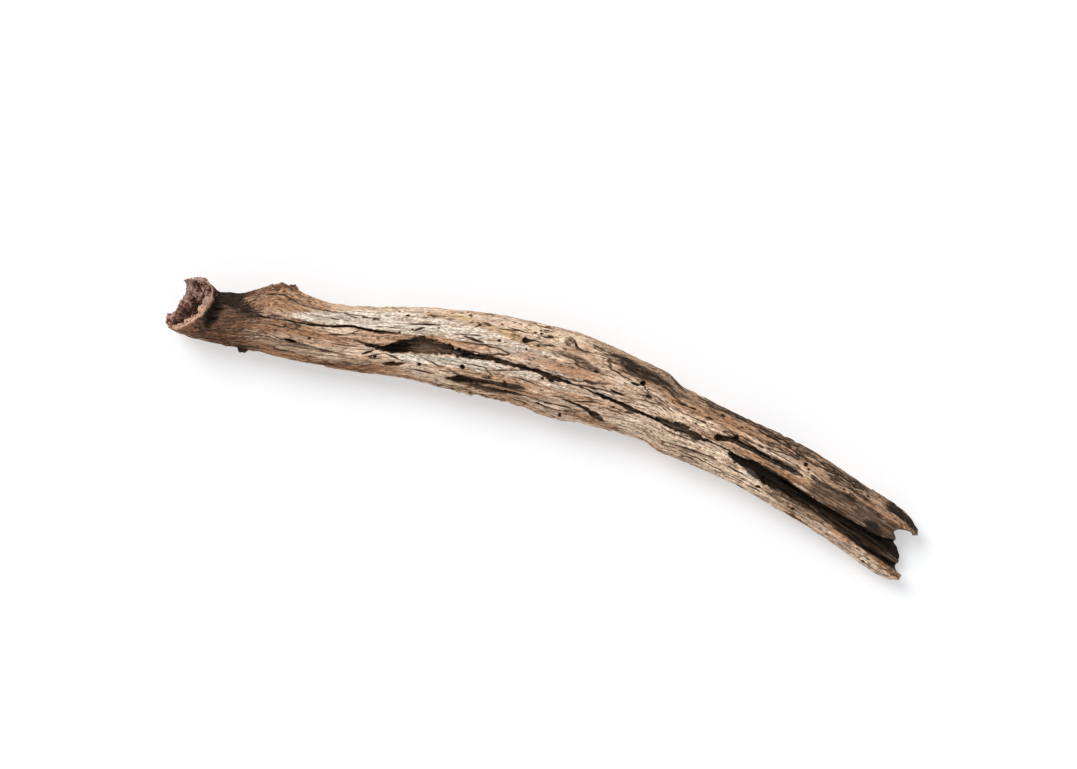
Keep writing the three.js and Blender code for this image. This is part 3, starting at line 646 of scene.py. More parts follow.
# Soft strokes of tint on the upper side, as rows of x, middle line y, half width, strength.
tintStrokes = {
    "silver": [
        [(-214, -9, 1.5, 0), (-200, -5, 3, 0.9), (-180, 1, 5, 1), (-150, 9, 7.5, 1), (-120, 17, 9, 0.8),
         (-90, 22, 7.5, 0.6), (-60, 25, 6, 0.65), (-30, 25, 4, 0.5), (5, 25, 3, 0)],
        [(-130, -13, 1.5, 0), (-112, -8.6, 2.6, 0.8), (-88, -2.4, 3.4, 0.9), (-60, 3, 3.6, 0.7),
         (-25, 6, 4, 0.5), (5, 6.6, 4, 0.3), (30, 5, 3, 0)],
        [(148, -8, 1, 0), (154, -8.2, 2.4, 1), (164, -9, 2.2, 0.9), (170, -10, 1, 0)],
    ],
    "cream": [
        [(60, 14, 2, 0), (80, 15.6, 4, 0.8), (100, 16, 4.6, 1), (120, 14.4, 4, 0.9), (134, 12, 2, 0)],
        [(85, -4, 3, 0), (110, -4, 6, 0.5), (140, -9, 6, 0.7), (165, -15, 4, 0.8), (185, -20, 3.4, 0.7),
         (205, -24, 3, 0)],
    ],
    "ochre": [
        [(-112, 29, 1, 0), (-92, 31, 2.2, 0.4), (-60, 32.4, 2.6, 0.65), (-30, 31.4, 2.4, 0.7),
         (-6, 29, 1.5, 0)],
        [(-175, 12, 1, 0), (-160, 15.4, 2, 0.4), (-140, 21, 2.4, 0.45), (-118, 27, 2, 0)],
        [(196, 2, 1, 0), (204, 1, 2.4, 1), (212, -2, 2.2, 1), (219, -5, 1, 0)],
    ],
    "rust": [
        [(-286, -45, 3, 0), (-262, -43, 4, 0.5), (-235, -40, 4, 0.7), (-200, -36.6, 3.2, 1),
         (-165, -32.6, 3.2, 1), (-135, -26.6, 2.8, 0.8), (-115, -21, 2, 0)],
        [(-252, -14, 3, 0), (-238, -8, 5, 0.8), (-222, 2, 8, 0.9), (-204, 3, 7, 0.7), (-180, 9, 3, 0.5),
         (-150, 17, 2, 0)],
        [(-240, -22, 3, 0), (-226, -21, 5, 0.7), (-208, -18, 5, 0.7), (-186, -16, 3.4, 0.45),
         (-160, -12, 2, 0)],
        [(4, -10, 2, 0), (18, -8.6, 3, 0.8), (36, -8, 2.6, 1), (52, -8, 2.4, 0.6), (70, -8, 2, 0)],
        [(130, 8, 1, 0), (146, 6.4, 1.6, 0.8), (166, 5, 1.8, 1), (182, 1.4, 2, 1), (200, -1.4, 1.8, 0.8),
         (214, -4, 1, 0)],
        [(200, 10, 2, 0), (222, 6.4, 3.4, 0.6), (250, 1.4, 3.4, 0.75), (275, -5, 3.2, 0.8),
         (292, -10, 3, 0.8)],
        [(84, 36, 3, 0), (120, 29, 6, 0.6), (160, 24, 6, 0.65), (205, 15, 6, 0.65), (245, 7, 4, 0.55),
         (270, 1, 2, 0)],
        [(215, -22, 2, 0), (235, -25.6, 2.4, 0.8), (262, -33, 2.6, 1), (288, -43, 3, 1),
         (298, -46, 3, 0.8)],
        [(-62, 18, 4, 0), (-20, 22, 4, 0.4), (20, 22, 4, 0.6), (50, 22, 4, 0)],
    ],
    "russet": [
        [(-243, -45, 3, 0.6), (-240, -45, 4, 1), (-233, -45, 4, 1), (-229, -45, 2, 0)],
        [(-296, -26, 22, 1), (-276, -26, 22, 1), (-262, -27, 20, 1), (-250, -27, 19, 1),
         (-240, -26, 17, 0.9), (-228, -25, 17, 0.6), (-214, -24, 15, 0.42), (-196, -26, 12, 0.25),
         (-176, -26, 8, 0)],
        [(-268, -4, 6, 0.8), (-250, -3, 5, 0.9), (-238, 2, 4, 0.8), (-226, 9, 3.4, 0.7), (-213, 12, 3, 0.8),
         (-205, 10, 2, 0)],
    ],
    "brown": [
        [(16, 46, 2, 0), (38, 41, 5, 0.85), (62, 37, 6.5, 0.88), (90, 33, 5.5, 0.72), (120, 29, 5.5, 0.56),
         (150, 25.4, 6, 0.5), (190, 20, 6, 0.48), (225, 12, 5.5, 0.6), (262, 4, 5, 0.7), (290, -5, 4, 0.85),
         (298, -8, 4, 0.85)],
        [(-14, 31, 1, 0), (4, 31.6, 1.5, 0.9), (22, 29.6, 1.5, 0.9), (40, 28, 1.2, 0)],
        [(6, 49, 2, 0), (24, 48, 3, 0.5), (50, 46.6, 3, 0.6), (76, 43.6, 3, 0.7), (88, 38, 3, 0.7),
         (104, 35, 3, 0.5), (140, 31, 3, 0.6), (180, 26.6, 3, 0.7), (220, 18.6, 3, 0.7),
         (250, 10.6, 3, 0.6), (270, 5.6, 3, 0)],
        [(-236, -31, 3, 0), (-222, -32, 5, 0.55), (-206, -29.4, 4, 0.5), (-186, -28, 3, 0.45),
         (-160, -24, 2, 0)],
        [(196, -1, 3, 0), (212, -2, 6, 0.7), (235, -6, 8, 0.85), (262, -12, 8, 0.9), (284, -15, 6, 0.9),
         (298, -16, 6, 0.9)],
        [(168, -11, 2, 0), (180, -14.4, 3.4, 0.9), (205, -19.4, 3.4, 0.9), (228, -24.4, 2.4, 0.7),
         (240, -27, 1, 0)],
        [(-80, -14, 2, 0), (-68, -11, 4, 0.7), (-48, -9, 4, 0.6), (-24, -5, 3, 0.4), (-10, -2, 2, 0)],
        [(-4, 41.4, 4, 0), (-2, 41.4, 4.4, 0.9), (3, 41.4, 3, 0)],
        [(-254, 2, 4, 0), (-246, 2, 5, 0.6), (-238, -3, 6, 0.62), (-229, -10, 5, 0.55), (-218, -13, 3, 0.3),
         (-208, -12, 2, 0)],
    ],
    # near-black strokes: dark stain of the neck, nub, pockets, checks and trough, with painted shade in those
    # hollows
    "char": [
        [(-243, -45.5, 1, 0), (-240, -45.6, 2.2, 0.9), (-233, -45.4, 2.2, 0.9), (-230, -45, 1, 0)],
        [(-271, -9, 4, 0.4), (-264, -8.6, 7, 1), (-254, -9.6, 7.4, 0.9), (-245, -12, 5.4, 0.7),
         (-236, -14.4, 4, 0.56), (-228, -15.4, 3, 0.4), (-218, -14, 1.5, 0)],
        [(-275, -3, 3, 0.5), (-266, -4, 4, 1), (-256, -3.4, 4, 0.9), (-248, -2, 4, 0.6), (-240, 1, 4, 0.36),
         (-232, 4, 3, 0)],
        [(-134, -8, 2, 0), (-127, -6, 3, 1), (-118, -3.6, 3.2, 1), (-110, -1, 2, 0)],
        [(18, 44, 1, 0), (30, 42.6, 2.4, 0.62), (38, 42, 2.4, 0.52), (46, 40, 3.8, 0.66),
         (56, 38.6, 3.8, 0.68), (64, 36.8, 3.4, 0.56), (74, 35, 3.8, 0.62), (84, 33, 3, 0.5),
         (96, 31, 2, 0.5), (106, 30, 1, 0)],
        [(60, 45, 1, 0), (70, 43.6, 1.6, 0.6), (80, 41.6, 1.6, 0.5), (88, 38, 1.6, 0.6), (100, 36, 1, 0)],
        [(128, 24, 1, 0), (140, 22.6, 2, 0.42), (156, 20.4, 2, 0.36), (172, 18, 2, 0.46), (186, 15, 1, 0)],
        [(206, 13, 1, 0), (218, 11.4, 2.4, 0.6), (236, 6.6, 2.4, 0.5), (250, 2.6, 2, 0.58),
         (264, -2, 1, 0)],
        [(100, 34, 1, 0), (110, 33.6, 2.2, 0.6), (124, 31.6, 2.2, 0.5), (136, 30, 2, 0.58),
         (148, 29.4, 2.2, 0.5), (158, 28.6, 3, 0.58), (168, 26, 3, 0.5), (180, 24.6, 3, 0.6),
         (194, 21.6, 3.2, 0.64), (206, 19.4, 3, 0.5), (218, 16.6, 3, 0.64), (230, 13, 3, 0.5),
         (244, 10.6, 3, 0.6), (256, 7, 1, 0)],
        # painted shadow that the broken lip casts on the neck behind it
        [(-269.5, -26, 4, 0.5), (-266, -25, 11, 0.85), (-261, -24, 9, 0.6), (-255, -23, 6, 0)],
        [(138, 2, 2, 0), (150, -0.6, 3.4, 1), (170, -4, 6, 1), (186, -7, 5, 0.9), (210, -12.4, 3.4, 0.85),
         (240, -18.6, 3.4, 0.85), (262, -22.6, 3.6, 0.9), (284, -25.6, 5, 0.95), (298, -28, 5.4, 1)],
        [(236, -24.6, 1, 0), (252, -28.8, 1.6, 0.7), (272, -34.4, 2, 0.8), (288, -38.6, 2, 0.9),
         (298, -40, 2, 0.9)],
        [(251, -13.4, 1, 0), (257, -14.4, 3, 0.6), (263, -15.6, 4, 0.9), (269, -16.6, 3.2, 0.6),
         (276, -17.6, 1, 0)],
        [(266, 5, 2, 0), (274, 2.4, 2.6, 0.8), (284, -0.6, 2.6, 0.8), (293, -4.6, 2.6, 0.9),
         (299, -8, 3, 0.9)],
        [(232, 1, 2, 0), (240, 0.4, 2.4, 0.6), (248, -1, 1.6, 0)],
    ],
}


# How strongly a tint lies on each point: the strongest of its strokes, each flat across most of its half
# width and falling softly at its edge.
def paintTint(name, x, y, grain, upward):
    look = {"thinnest": 0.6, "edge": (0.7, 1.35)}
    wander = layered(grain, "tintWander")
    tint = np.zeros_like(x)
    for rows in tintStrokes[name]:
        middle, half, strength = smoothRun(rows, x)
        across = np.abs(y + wander - middle) / np.maximum(half, look["thinnest"])
        stroke = np.clip(strength, 0, 1) * (1 - softStep(*look["edge"], across))
        tint = np.maximum(tint, betweenEnds(rows, x) * stroke)
    return tint * upward


# Closes one end of the grid. The end ring folds onto the line midway between its upper and its lower
# half; what it crosses on the way is the end face, roughened by shape(points, distance from the rim).
def foldEnd(ring, rows, shape):
    mirrored = ring[(-np.arange(len(ring))) % len(ring)]
    midline = (ring + mirrored) / 2
    fold = np.linspace(0, 1, rows + 1)[1:, None, None]
    face = ring * (1 - fold) + midline * fold
    fromRim = np.linalg.norm(face - ring, axis=-1)
    return face + shape(face, fromRim)


# The broken face: a bowl behind a standing lip, with a plateau on the +Y side, a notch, spongy pits and
# torn fibres. The lip, the notch and the fray are bells; all of it dies away towards the rim.
def stumpHeight(points, fromRim):
    look = {"calm": (0.0, 3.0), "lip": 1.4, "lipAt": 4.5, "lipWide": 3.5, "bowl": -5.5,
            "bowlFrom": (6.0, 17.0), "plateauY": (-24, -15), "plateauX": (-270, -280), "plateau": 0.7,
            "pits": -2.6, "pitFrom": (0.08, 0.4), "torn": 1.4, "tornSize": (2.6, 7, 2.6), "tornSeed": 77,
            "notch": -4.5, "notchAt": (-273.5, -9.5), "notchSize": (3.0, 4.6), "frayAt": 5, "frayWide": 5}
    x, y = points[..., 0], points[..., 1]
    plateau = softStep(*look["plateauY"], y) * softStep(*look["plateauX"], x)
    height = look["lip"] * np.exp(-((fromRim - look["lipAt"]) / look["lipWide"]) ** 2)
    height += look["bowl"] * softStep(*look["bowlFrom"], fromRim) * (1 - look["plateau"] * plateau)
    height += layered(points, "stumpLumps")
    height += look["pits"] * softStep(*look["pitFrom"], layered(points, "stumpPits"))
    height += look["torn"] * noiseAt(points, look["tornSize"], look["tornSeed"])
    (notchX, notchY), (notchLong, notchWide) = look["notchAt"], look["notchSize"]
    height += look["notch"] * np.exp(-((x - notchX) / notchLong) ** 2 - ((y - notchY) / notchWide) ** 2)
    fray = np.exp(-((fromRim - look["frayAt"]) / look["frayWide"]) ** 2)
    height += layered(points, "stumpFray") * fray
    return softStep(*look["calm"], fromRim) * height


def stumpRelief(points, fromRim):
    return np.array(driftwood["stumpFacing"]) * stumpHeight(points, fromRim)[..., None]


# The prongs' ends: pushed out a little, with broken fibres.
def prongRelief(points, fromRim):
    look = {"calm": (0.0, 1.5), "push": 0.6}
    push = softStep(*look["calm"], fromRim) * (layered(points, "prongFibres") + look["push"])
    return np.array([1.0, 0, 0]) * push[..., None]


# where the skin starts and ends along x at each angle round the girth, a little frayed
def skinEnds(angle):
    radius = driftwood["grainRadius"]
    ring = np.stack([np.zeros_like(angle), radius * np.cos(angle), radius * np.sin(angle)], -1)
    stumpEnd = smoothRun(stumpOutline, np.degrees(turnFrom(0, angle)))[0] + layered(ring, "stumpEdge")
    undercut = driftwood["prongUndercut"] * np.maximum(0, -np.sin(angle))
    prongEnd = smoothRun(prongOutline, np.cos(angle))[0] - undercut + layered(ring, "prongEdge")
    return stumpEnd, prongEnd


# The straightened wood, a cylinder along x, and the same with its grain: turned slowly with x, bent round
# the knots and made to waver.
def layGrain(x, angle, bend):
    radius = driftwood["grainRadius"]
    straight = np.stack([x, radius * np.cos(angle), radius * np.sin(angle)], -1)
    turned = angle + driftwood["grainTwist"] * x + bend + layered(straight, "waver")
    return straight, np.stack([x, radius * np.cos(turned), radius * np.sin(turned)], -1)


# The weathered surface: wide flutes, and on them ridges parted by sharp creases, fibres, bumps and flakes,
# which are layers that end in steps.
def weather(grain):
    look = {"rise": 0.345, "flakeDepth": 1.15, "flakeStep": (0.38, 0.62)}
    ridges = layered(grain, "ridges") + look["rise"] - np.abs(layered(grain, "creases"))
    plates = layered(grain, "plates")
    level = np.floor(plates)
    flakes = look["flakeDepth"] * (level + softStep(*look["flakeStep"], plates - level) - plates)
    return layered(grain, "flutes"), ridges + layered(grain, "fibres") + flakes + layered(grain, "bumps")


# Hairline cracks of even width along the lines where a noise is nought. The distance from such a line is
# the noise over its steepness across the grain. They come and go in patches.
def hairlineCracks(grain):
    look = {"width": 0.55, "flattest": 0.05, "patches": (-0.15, 0.2)}
    line = layered(grain, "hairlines")
    columnWidth = fullTurn * driftwood["grainRadius"] / driftwood["columns"]
    steepness = np.abs(np.gradient(line, columnWidth, axis=1))
    fromLine = np.abs(line) / np.maximum(steepness, look["flattest"])
    return np.exp(-(fromLine / look["width"]) ** 2) * softStep(*look["patches"],
                                                               layered(grain, "hairlinePatches"))


# Two rough places: shreds along the middle of the -Y edge, and crumbs on the burl's edge and the neck.
def roughen(x, angle, straight, grain, upward):
    look = {"shredX": -52, "shredLong": 26, "shredEdge": (-0.8, -0.97), "burlX": -217, "burlLong": 13,
            "burlAngle": 0.35, "burlEdge": (0.7, 0.95), "neckX": (-256, -266), "neck": 0.4}
    shred = np.exp(-((x - look["shredX"]) / look["shredLong"]) ** 2)
    shred = shred * softStep(*look["shredEdge"], np.cos(angle))
    burl = np.exp(-((x - look["burlX"]) / look["burlLong"]) ** 2)
    burl = burl * softStep(*look["burlEdge"], np.cos(angle - look["burlAngle"]))
    rough = np.maximum(burl, look["neck"] * softStep(*look["neckX"], x) * upward)
    return layered(grain, "shreds") * shred, layered(straight, "crumbs") * rough


# a field of the skin carried on over the two end faces, with a value of its own there or that of the rim
def withEnds(values, stumpValue=None, prongValue=None):
    head = np.repeat(values[:1], driftwood["stumpRows"], 0)
    tail = np.repeat(values[-1:], driftwood["prongRows"], 0)
    if stumpValue is not None:
        head = np.full_like(head, stumpValue)
    if prongValue is not None:
        tail = np.full_like(tail, prongValue)
    return np.concatenate([head, values, tail])


# The skin as a grid of points, and the fields that its material reads. The smooth skin is pushed out along
# its normals by the weathering and the swellings, and cut in: straight down where it faces up, and along
# the normal elsewhere.
def buildSkin():
    look = {"upward": (-0.06, 0.2), "hairlineDepth": 1.1, "hairlineDark": 0.62, "calm": 0.25,
            "calmStump": (0, 9), "calmProngs": (0, 6), "central": (0.96, 0.62), "reliefRange": 1.8,
            "rimHighlight": 1.2, "rimHighlightTo": (1, 3), "stumpTo": (0.4, 2.4), "prongCavity": 0.24,
            "tintEdge": (-0.28, -0.04), "faceRange": 4, "lipTo": (0.8, 3.2), "lipInside": (17, 8),
            "lipStart": (26, 44), "lipEnd": (180, 170), "plateau": (-26, -17)}
    stumpRows = driftwood["stumpRows"]
    angle = np.linspace(0, fullTurn, driftwood["columns"], endpoint=False)[None, :]
    stumpEnd, prongEnd = skinEnds(angle)
    degrees = np.degrees(turnFrom(0, angle))
    x = stumpEnd + (prongEnd - stumpEnd) * np.linspace(0, 1, driftwood["rows"])[:, None]
    angle = np.broadcast_to(angle, x.shape)
    base = skinPoint(angle, x)
    normal = gridNormals(base)
    y = base[..., 1]
    upward = softStep(*look["upward"], np.sin(angle))

    knotHeight, knotHeart, bend = growKnots(x, angle)
    straight, grain = layGrain(x, angle, bend)
    flutes, fine = weather(grain)
    shreds, crumbs = roughen(x, angle, straight, grain, upward)
    depth, dark = cutUpperSide(x, y, grain, upward)
    cutSides(x, angle, grain, depth, dark)
    strewChecks(x, angle, depth, dark)
    hairline = hairlineCracks(grain)
    depth = np.maximum(depth, look["hairlineDepth"] * hairline)
    # the hairline cracks darken too: painted shade in the crack together with its dark line
    dark = np.maximum(dark, look["hairlineDark"] * hairline)

    nearEnds = softStep(*look["calmStump"], x - stumpEnd) * softStep(*look["calmProngs"], prongEnd - x)
    relief = flutes + (fine + crumbs) * (look["calm"] + (1 - look["calm"]) * nearEnds) + shreds
    relief = relief + swellUpperSide(x, y, upward) + knotHeight
    central = (softStep(*look["central"], np.abs(np.cos(angle))) * upward)[..., None]
    inward = normal * (1 - central) + np.array([0, 0, 1.0]) * central
    inward /= np.linalg.norm(inward, axis=-1, keepdims=True)
    points = base + normal * relief[..., None] - inward * depth[..., None]
    rim = points[:1]
    stump = foldEnd(points[0], stumpRows, stumpRelief)[::-1]
    prongs = foldEnd(points[-1], driftwood["prongRows"], prongRelief)
    points = np.concatenate([stump, points, prongs])
    points[..., 2] = np.maximum(points[..., 2], 0.0)  # worn flat where it touches the ground

    plusEdge, minusEdge, underside, crest = smoothRun(girthStations, x)
    core = np.stack([np.zeros_like(x), (plusEdge + minusEdge) / 2, (underside + crest) / 2], -1)
    # painted highlight on the upper side of the broken rim, where the lip's crest faces the light
    rimHighlight = look["rimHighlight"] * (1 - softStep(*look["rimHighlightTo"], x - stumpEnd)) * upward
    fields = {
        # the fine relief, which the material turns into painted shade in its dips and painted light on its
        # crests
        "relief": withEnds((fine + shreds + crumbs) / look["reliefRange"] + rimHighlight, 0.0, 0.0),
        # painted shade in the cracks, checks and holes together with their dark stain; on the prongs' ends, end
        # grain brown
        "cavity": withEnds(dark, 0.0, look["prongCavity"]),
        "knot": withEnds(knotHeart, 0.0, 0.0),
        "stump": withEnds(1 - softStep(*look["stumpTo"], x - stumpEnd), 1.0, 0.0),
        # lightens the broken colour along the rim: painted highlight where the lip faces the light, over its
        # pink-orange
        "lip": withEnds(1 - softStep(*look["lipTo"], x - stumpEnd), 0.0, 0.0),
        "plateau": withEnds(np.zeros_like(x)),
        "face": withEnds(np.zeros_like(x), -1.0, 1.0),
        "turnCos": withEnds(np.cos(angle)),
        "turnSin": withEnds(np.sin(angle)),
        "grain": points + withEnds(grain - straight - core),
    }
    facePlace = points[:stumpRows]
    fromRim = np.linalg.norm(facePlace - rim, axis=-1)
    lipPart = softStep(*look["lipStart"], degrees) * softStep(*look["lipEnd"], degrees)
    # on the broken face the relief field is its height: painted shade in its pits and notch, painted light on
    # its tops
    fields["relief"][:stumpRows] = stumpHeight(facePlace, fromRim) / look["faceRange"]
    # the lip's inner slope from the crest to the -Y edge: painted highlight where it faces the light
    fields["lip"][:stumpRows] = softStep(*look["lipInside"], fromRim) * lipPart
    fields["plateau"][:stumpRows] = softStep(*look["plateau"], facePlace[..., 1])
    tinted = softStep(*look["tintEdge"], np.sin(angle))
    for name in tintStrokes:
        fields[name] = withEnds(paintTint(name, x, y, grain, tinted), 0.0)
    return points, fields


# Quads of the grid, closed round the columns. The last ring at each end is folded flat, so its lower
# half is the same points as its upper half, in mirror order.
def gridQuads(rows, columns):
    index = np.arange(rows * columns).reshape(rows, columns)
    folded = np.minimum(np.arange(columns), (-np.arange(columns)) % columns)
    for end in (0, rows - 1):
        index[end] = index[end, folded]
    nextColumn = np.roll(index, -1, 1)
    return np.stack([index[:-1], nextColumn[:-1], nextColumn[1:], index[1:]], -1).reshape(-1, 4)


def gridMesh(name, points, quads):
    mesh = bpy.data.meshes.new(name)
    flat = points.reshape(-1, 3)
    mesh.vertices.add(len(flat))
    mesh.vertices.foreach_set("co", flat.ravel())
    mesh.loops.add(quads.size)
    mesh.loops.foreach_set("vertex_index", quads.ravel())
    mesh.polygons.add(len(quads))
    mesh.polygons.foreach_set("loop_start", np.arange(0, quads.size, quads.shape[1]))
    mesh.update(calc_edges=True)
    return mesh


# a grid of numbers, or of vectors, laid on the points
def setField(mesh, name, values):
    kind, key = ("FLOAT_VECTOR", "vector") if values.ndim == 3 else ("FLOAT", "value")
    layer = mesh.attributes.new(name, kind, "POINT")
    layer.data.foreach_set(key, values.astype(np.float32).ravel())


def readField(mesh, name):
    values = np.empty(len(mesh.vertices), np.float32)
    mesh.attributes[name].data.foreach_get("value", values)
    return values


# A flat map of the surface. The skin is cut along its two edges and
# across its middle into four strips, stacked up, with the grain along each; x runs along a strip and the
# angle round the girth runs across it. The two end faces lie above them, seen along X.
def mapSkin(mesh):
    look = {"strip": 0.2, "margin": 0.008, "edge": 0.012, "faceScale": 3.2, "stumpAt": 0.18, "prongAt": 0.5,
            "faceHigh": 0.82, "onFace": 0.5}
    corners = np.empty(len(mesh.loops), np.int32)
    mesh.loops.foreach_get("vertex_index", corners)
    places = np.empty(len(mesh.vertices) * 3, np.float32)
    mesh.vertices.foreach_get("co", places)
    places = places.reshape(-1, 3)[corners].reshape(-1, 3, 3)
    turn = np.arctan2(readField(mesh, "turnSin"), readField(mesh, "turnCos"))[corners].reshape(-1, 3)
    face = readField(mesh, "face")[corners].reshape(-1, 3).mean(1)[:, None]
    below = np.sin(turn).mean(1)[:, None] < 0
    right = places[..., 0].mean(1)[:, None] > middleX
    quarter = fullTurn / 4
    turn = (turn + np.where(below, 3 * quarter, quarter)) % fullTurn - quarter  # from the strip's own edge
    half = rootLength * unit / 2
    along = (places[..., 0] - middleX) / half + np.where(right, 0, 1)
    mapU = look["edge"] + (1 - 2 * look["edge"]) * along
    across = (look["strip"] - 2 * look["margin"]) * turn / (2 * quarter)
    mapV = look["strip"] * (below + 2 * right) + look["margin"] + across
    onFace = np.abs(face) > look["onFace"]
    start = np.where(face < 0, look["stumpAt"], look["prongAt"])
    mapU = np.where(onFace, start + look["faceScale"] * (places[..., 1] - middleY), mapU)
    mapV = np.where(onFace, look["faceHigh"] + look["faceScale"] * places[..., 2], mapV)
    layer = mesh.uv_layers.new(name="OFBake")
    layer.data.foreach_set("uv", np.stack([mapU, mapV], -1).astype(np.float32).ravel())


def makeDriftwood():
    points, fields = buildSkin()
    print("skin worked out:", points.shape[0], "rings of", points.shape[1])
    points = points * unit + np.array([middleX, middleY, 0.0])
    quads = gridQuads(points.shape[0], points.shape[1])
    mesh = gridMesh("driftwood_skin", points, quads)
    for name, values in fields.items():
        setField(mesh, name, values * unit if name == "grain" else values)
    piece = bpy.data.objects.new("driftwood_skin", mesh)
    bpy.context.scene.collection.objects.link(piece)

    weld = piece.modifiers.new("weld", "WELD")
    weld.merge_threshold = driftwood["weld"] * unit
    thin = piece.modifiers.new("thin", "DECIMATE")
    thin.ratio = min(1.0, driftwood["triangles"] / (2 * len(quads)))
    thin.use_collapse_triangulate = True
    evaluated = piece.evaluated_get(bpy.context.evaluated_depsgraph_get())
    finished = bpy.data.meshes.new_from_object(evaluated)
    piece.modifiers.clear()
    piece.data = finished
    bpy.data.meshes.remove(mesh)
    finished.name = "driftwood_skin"
    finished.polygons.foreach_set("use_smooth", np.ones(len(finished.polygons), bool))
    mapSkin(finished)
    print("thinned to", len(finished.polygons), "faces")

    finished.materials.clear()
    finished.materials.append(makeDriftwoodMaterial())
    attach(piece, bodyName)
    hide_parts(solidName)
    return piece


# Colour in layers: streaked tan, the tints carried by the mesh with their edges torn along the grain, light
# and dark threads, painted shade in the dips of the fine relief and painted light on its crests, the floors of
# the cracks darkened with painted shade and their dark stain, and last the red-brown broken end, with painted
# shade in its pits and a painted highlight on its high points and lip. The patterns are noises of the wood's
# place when straightened, stretched along the grain.
def makeDriftwoodMaterial():
    look = {
        "tanDeep": (0.39, 0.23, 0.14), "tan": (0.58, 0.395, 0.275), "tanPale": (0.7, 0.53, 0.4),
        "orange": (0.57, 0.3, 0.145), "umber": (0.28, 0.16, 0.09),
        "silver": (0.75, 0.66, 0.555), "silverDim": (0.55, 0.465, 0.375), "cream": (0.79, 0.605, 0.44),
        "ochre": (0.54, 0.345, 0.175), "ochreDeep": (0.25, 0.15, 0.075),
        "rust": (0.45, 0.215, 0.1), "rustDeep": (0.2, 0.09, 0.045),
        "brown": (0.05, 0.028, 0.017), "brownPale": (0.37, 0.22, 0.13),
        "russet": (0.032, 0.011, 0.005), "russetPale": (0.17, 0.07, 0.034),
        # char, soot and the crack floors: the dark stain of the hollows together with painted shade in them
        "char": (0.012, 0.009, 0.007), "charAndShadePale": (0.055, 0.036, 0.025), "charAndShadeBand": (0.19, 0.125, 0.085),
        "soot": (0.03, 0.02, 0.014), "floor": (0.085, 0.048, 0.029), "floorPale": (0.27, 0.175, 0.115),
        "dash": (0.035, 0.02, 0.013), "thread": (0.88, 0.74, 0.57),
        # broken face: pit is painted shade in its pits, stump its red-brown, stumpPink and rim paler wood with
        # painted highlight
        "pit": (0.024, 0.01, 0.007), "stump": (0.17, 0.07, 0.048), "stumpPink": (0.43, 0.26, 0.2),
        "rim": (0.78, 0.46, 0.3), "ash": (0.4, 0.29, 0.25),
        "spread": (0.34, 0.66), "tintAt": (0.15, 0.75), "darkest": 0.15, "bump": 0.8, "bumpDistance": 0.0007,
        "shine": 0.16,
    }
    patterns = {  # lumps for each metre along the grain and across it, detail, roughness, distortion
        "streaks": (13, 130, 5.0, 0.62), "patches": (9, 34, 3.0, 0.55), "hues": (34, 400, 3.0, 0.6),
        "strands": (26, 560, 3.0, 0.62), "threads": (95, 1100, 2.0, 0.6), "stipple": (330, 720, 2.0, 0.6),
        "dashes": (190, 820, 2.0, 0.6, 0.5), "lines": (7, 150, 2.0, 0.5),
    }
    crumbs = {"sponge": (330.0, 4.0, 0.68), "grit": (900.0, 3.0, 0.6)}  # lumps, detail and roughness
    washes = {  # pattern, where the colour starts and where it is full, and how much of it at most
        "cream": ("patchy", 0.5, 0.64, 0.6), "rust": ("patchy", 0.47, 0.34, 0.65),
        "orange": ("hues", 0.53, 0.66, 0.4), "umber": ("hues", 0.44, 0.34, 0.42),
    }
    tints = {  # colour in the dips and on the strands, and how much of it at most
        "silver": ("silverDim", "silver", 0.88), "cream": ("tan", "cream", 0.8),
        "ochre": ("ochreDeep", "ochre", 0.8), "rust": ("rustDeep", "rust", 0.8),
        "brown": ("brown", "brownPale", 0.88), "russet": ("russet", "russetPale", 0.92),
        "knot": ("russet", "brownPale", 0.85), "char": ("char", "soot", 0.94),
    }
    steps = {  # where each mask starts and where it is full
        "tintEdge": (0.25, 0.75), "tintFoot": (0.0, 0.2), "glints": (0.6, 1.0), "dashes": (0.43, 0.37),
        "lines": (0.016, 0.005), "linePatches": (0.2, 0.6), "dips": (-0.5, -1.3), "floor": (0.12, 0.36),
        "char": (0.35, 0.75), "ash": (0.42, 0.58), "pits": (0.45, 0.36), "gaps": (0.34, 0.46),
    }
    amounts = {  # how much of each at most, and how far russet and silver hold the threads and dashes back
        "glints": 0.3, "dashes": 0.75, "dips": 0.4, "char": 0.97, "ash": 0.7, "pits": 0.7,
        "russetQuiet": 0.8, "silverCalm": 0.4,
    }
    sheet = NodeSheet("weathered_wood")
    grain = sheet.vector("grain")
    place = sheet.add("ShaderNodeTexCoord", {}, {}).outputs["Object"]
    parts = {name: sheet.number(name) for name in ("relief", "cavity", "lip")}
    for name, (along, across, *rest) in patterns.items():
        parts[name] = sheet.noise(sheet.stretched(grain, (along, across, across)), 1.0, *rest)
    for name in ("strands", "threads", "stipple"):
        parts[name] = parts[name].step(*look["spread"])
    for name, settings in crumbs.items():
        parts[name] = sheet.noise(place, *settings)

    def weighed(base, **weights):
        for name, weight in weights.items():
            base = parts[name] * weight + base
        return base

    def swing(**weights):  # the same, but nought in the middle of the patterns' range
        return weighed(-sum(weights.values()) / 2, **weights)

    torn = swing(streaks=1.6, strands=0.35, threads=0.4, stipple=0.3)
    mixed = weighed(0.0, strands=0.6, stipple=0.4)
    parts["patchy"] = parts["patches"] + swing(strands=0.12)

    def tinted(color, name):
        deep, pale, most = tints[name]
        low, high = look["tintAt"]
        paint = sheet.ramp(mixed, [(low, look[deep]), (high, look[pale])])
        tint = sheet.number(name)
        mask = (tint + torn).step(*steps["tintEdge"]) * tint.step(*steps["tintFoot"])
        return sheet.mix(color, paint, mask * most)

